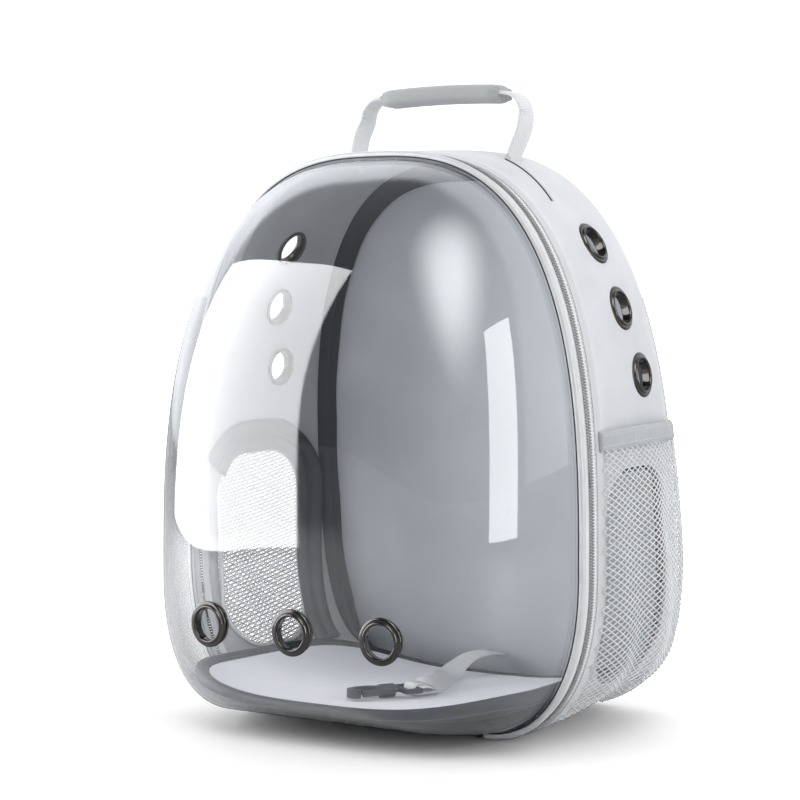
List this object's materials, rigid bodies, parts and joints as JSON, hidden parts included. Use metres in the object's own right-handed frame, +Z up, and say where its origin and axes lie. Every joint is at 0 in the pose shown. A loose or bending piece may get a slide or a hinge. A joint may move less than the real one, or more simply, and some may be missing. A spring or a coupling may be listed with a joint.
{
  "type": "pet carrier backpack",
  "caption": "Arch-shaped backpack for carrying a small pet, with a clear domed front closed by a zip, air eyelets, mesh windows, net pockets, a mat and a tether inside.",
  "frame": {"origin": "middle of the base's flat underside, on the floor", "axes": "+Z up, -Y towards the dome, +X to the right of someone facing the dome"},
  "size_m": [0.3664, 0.3111, 0.4655],
  "materials": {
    "light_cloth": "smooth pale grey coated cloth over thin foam",
    "grey_cloth": "mid grey woven cloth",
    "dark_cloth": "dark grey woven cloth",
    "mesh_cloth": "white open mesh",
    "mat_cloth": "soft off-white plush",
    "leash_web": "pale grey webbing",
    "zip_tape": "pale grey zip tape",
    "zip_teeth": "dark coil teeth",
    "clear_shell": "clear glossy moulded plastic",
    "piping": "pale satin piping",
    "gunmetal": "black chrome",
    "buckle_plastic": "dark moulded plastic"
  },
  "bodies": {
    "bag": {"gusset": "light_cloth", "handle_webbing": "light_cloth", "shoulder_strap_left": "light_cloth", "shoulder_strap_right": "light_cloth", "back_panel": "grey_cloth", "handle_grip": "grey_cloth", "pocket_hem_left": "grey_cloth", "pocket_hem_right": "grey_cloth", "strap_webbing_left": "grey_cloth", "strap_webbing_right": "grey_cloth", "base_panel": "dark_cloth", "mat_binding": "dark_cloth", "window_binding_left": "dark_cloth", "window_binding_right": "dark_cloth", "window_mesh_left": "mesh_cloth", "window_mesh_right": "mesh_cloth", "pocket_net_left": "mesh_cloth", "pocket_net_right": "mesh_cloth", "floor_mat": "mat_cloth", "leash_webbing": "leash_web", "zip_tape_bag": "zip_tape", "zip_teeth_bag": "zip_teeth", "eyelet_left_1": "gunmetal", "eyelet_left_2": "gunmetal", "eyelet_left_3": "gunmetal", "eyelet_right_1": "gunmetal", "eyelet_right_2": "gunmetal", "eyelet_right_3": "gunmetal", "hook_ring": "gunmetal", "hook_body": "gunmetal", "zip_slider": "gunmetal", "strap_slider_left": "buckle_plastic", "strap_slider_right": "buckle_plastic"},
    "door": {"dome": "clear_shell", "dome_piping": "piping", "zip_tape_door": "zip_tape", "zip_teeth_door": "zip_teeth", "eyelet_front_1": "gunmetal", "eyelet_front_2": "gunmetal", "eyelet_front_3": "gunmetal"},
    "gate": {"hook_gate": "gunmetal"}
  },
  "joints": [
    {"name": "door_hinge", "type": "hinge", "parent": "bag", "child": "door", "pos_m": [0, -0.0845, 0.0035], "axis": [1, 0, 0], "range_deg": [0, 95]},
    {"name": "gate_hinge", "type": "hinge", "parent": "bag", "child": "gate", "pos_m": [-0.0022, -0.08167, 0.0224], "axis": [0, 0, -1], "range_deg": [0, 22], "stiffness_Nm_per_rad": 0.02, "springref_deg": -17.19}
  ]
}
